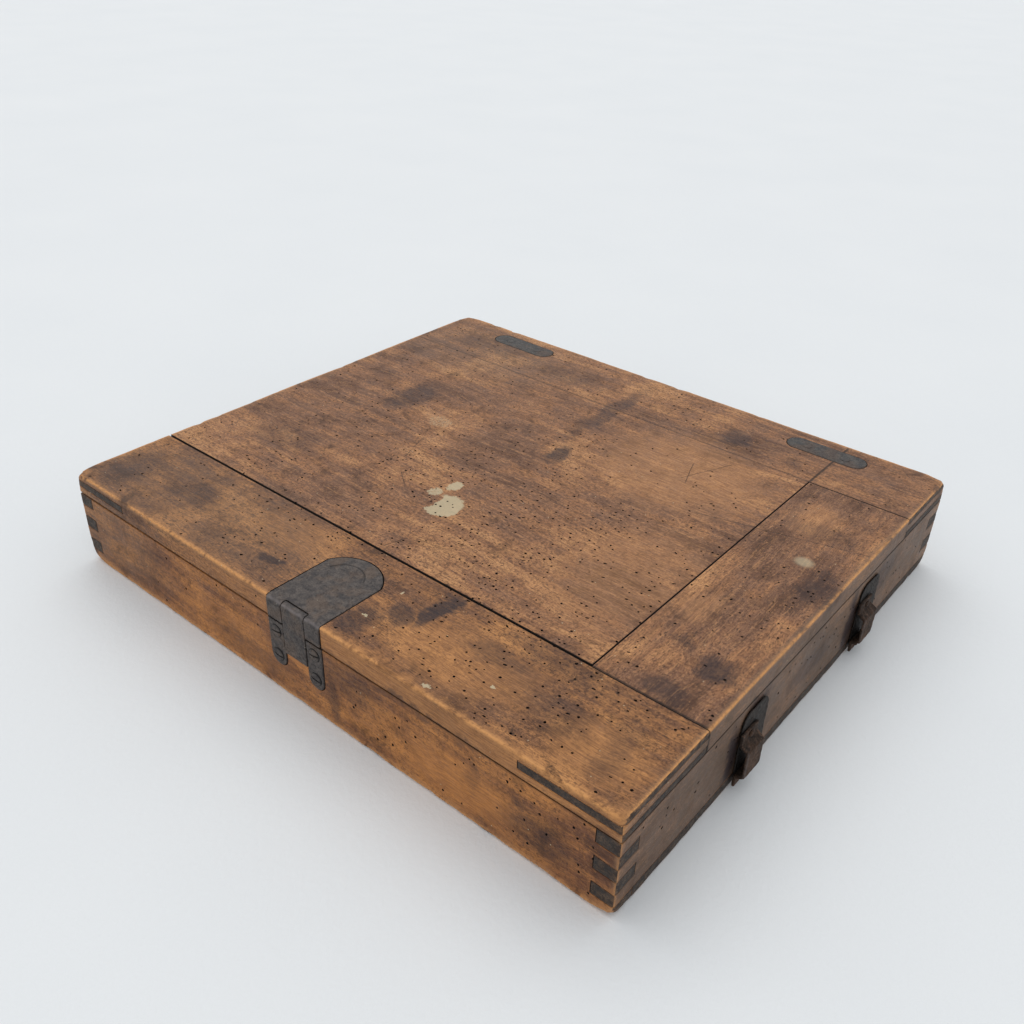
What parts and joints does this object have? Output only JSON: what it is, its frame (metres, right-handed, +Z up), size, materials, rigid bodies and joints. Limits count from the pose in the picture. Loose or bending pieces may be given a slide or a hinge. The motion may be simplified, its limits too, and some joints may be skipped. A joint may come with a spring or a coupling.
{
  "type": "lidded sheet case",
  "caption": "Flat wooden case with a hinged framed lid, an iron hasp and side strap loops, sized to store large photographic sheets or plates.",
  "frame": {"origin": "middle of the part's outer bounds, on the plane it stands on", "axes": "+X along the front towards the strap loops, +Y from the hasp to the hinges, +Z up through the lid"},
  "size_m": [0.438, 0.3878, 0.0672],
  "materials": {
    "tray_wood": "old waxed walnut brown, worn",
    "lid_wood": "old waxed walnut brown, worn and stained",
    "lining_wood": "bare planed wood",
    "dark_iron": "blackened forged iron",
    "rusty_iron": "rusted forged iron"
  },
  "bodies": {
    "tray": {"bottom_board_1": "tray_wood", "bottom_board_2": "tray_wood", "bottom_board_3": "tray_wood", "bottom_nail_left_1": "dark_iron", "bottom_nail_left_2": "dark_iron", "bottom_nail_left_3": "dark_iron", "bottom_nail_right_1": "dark_iron", "bottom_nail_right_2": "dark_iron", "bottom_nail_right_3": "dark_iron", "front_wall": "tray_wood", "hinge_left_pin": "dark_iron", "hinge_left_screw_left": "dark_iron", "hinge_left_screw_right": "dark_iron", "hinge_left_wall_leaf": "dark_iron", "hinge_right_pin": "dark_iron", "hinge_right_screw_left": "dark_iron", "hinge_right_screw_right": "dark_iron", "hinge_right_wall_leaf": "dark_iron", "keeper_left": "dark_iron", "keeper_left_screw_lower": "dark_iron", "keeper_left_screw_upper": "dark_iron", "keeper_right": "dark_iron", "keeper_right_screw_lower": "dark_iron", "keeper_right_screw_upper": "dark_iron", "left_wall": "tray_wood", "loop_front_bridge": "rusty_iron", "loop_front_nail_bottom": "rusty_iron", "loop_front_nail_tail": "rusty_iron", "loop_front_nail_top": "rusty_iron", "loop_front_plate": "dark_iron", "loop_rear_bridge": "rusty_iron", "loop_rear_nail_bottom": "rusty_iron", "loop_rear_nail_tail": "rusty_iron", "loop_rear_nail_top": "rusty_iron", "loop_rear_plate": "dark_iron", "rear_wall": "tray_wood", "right_wall": "tray_wood", "sheet_divider": "lining_wood"},
    "lid": {"hasp_pin": "dark_iron", "hasp_plate": "dark_iron", "hasp_rivet_1": "dark_iron", "hasp_rivet_2": "dark_iron", "hinge_left_cover": "dark_iron", "hinge_left_lid_leaf": "dark_iron", "hinge_left_rivet_left": "dark_iron", "hinge_left_rivet_right": "dark_iron", "hinge_right_cover": "dark_iron", "hinge_right_lid_leaf": "dark_iron", "hinge_right_rivet_left": "dark_iron", "hinge_right_rivet_right": "dark_iron", "lid_front_rail": "lid_wood", "lid_left_batten": "lid_wood", "lid_main_board": "lid_wood", "lid_right_stile": "lid_wood"},
    "strap": {"hasp_strap": "dark_iron"}
  },
  "joints": [
    {"name": "lid_hinge", "type": "hinge", "parent": "tray", "child": "lid", "pos_m": [0.00095, 0.19093, 0.0525], "axis": [-1, 0, 0], "range_deg": [0, 180]},
    {"name": "hasp_hinge", "type": "hinge", "parent": "lid", "child": "strap", "pos_m": [-0.003, -0.19057, 0.0644], "axis": [-1, 0, 0], "range_deg": [0, 135]}
  ]
}
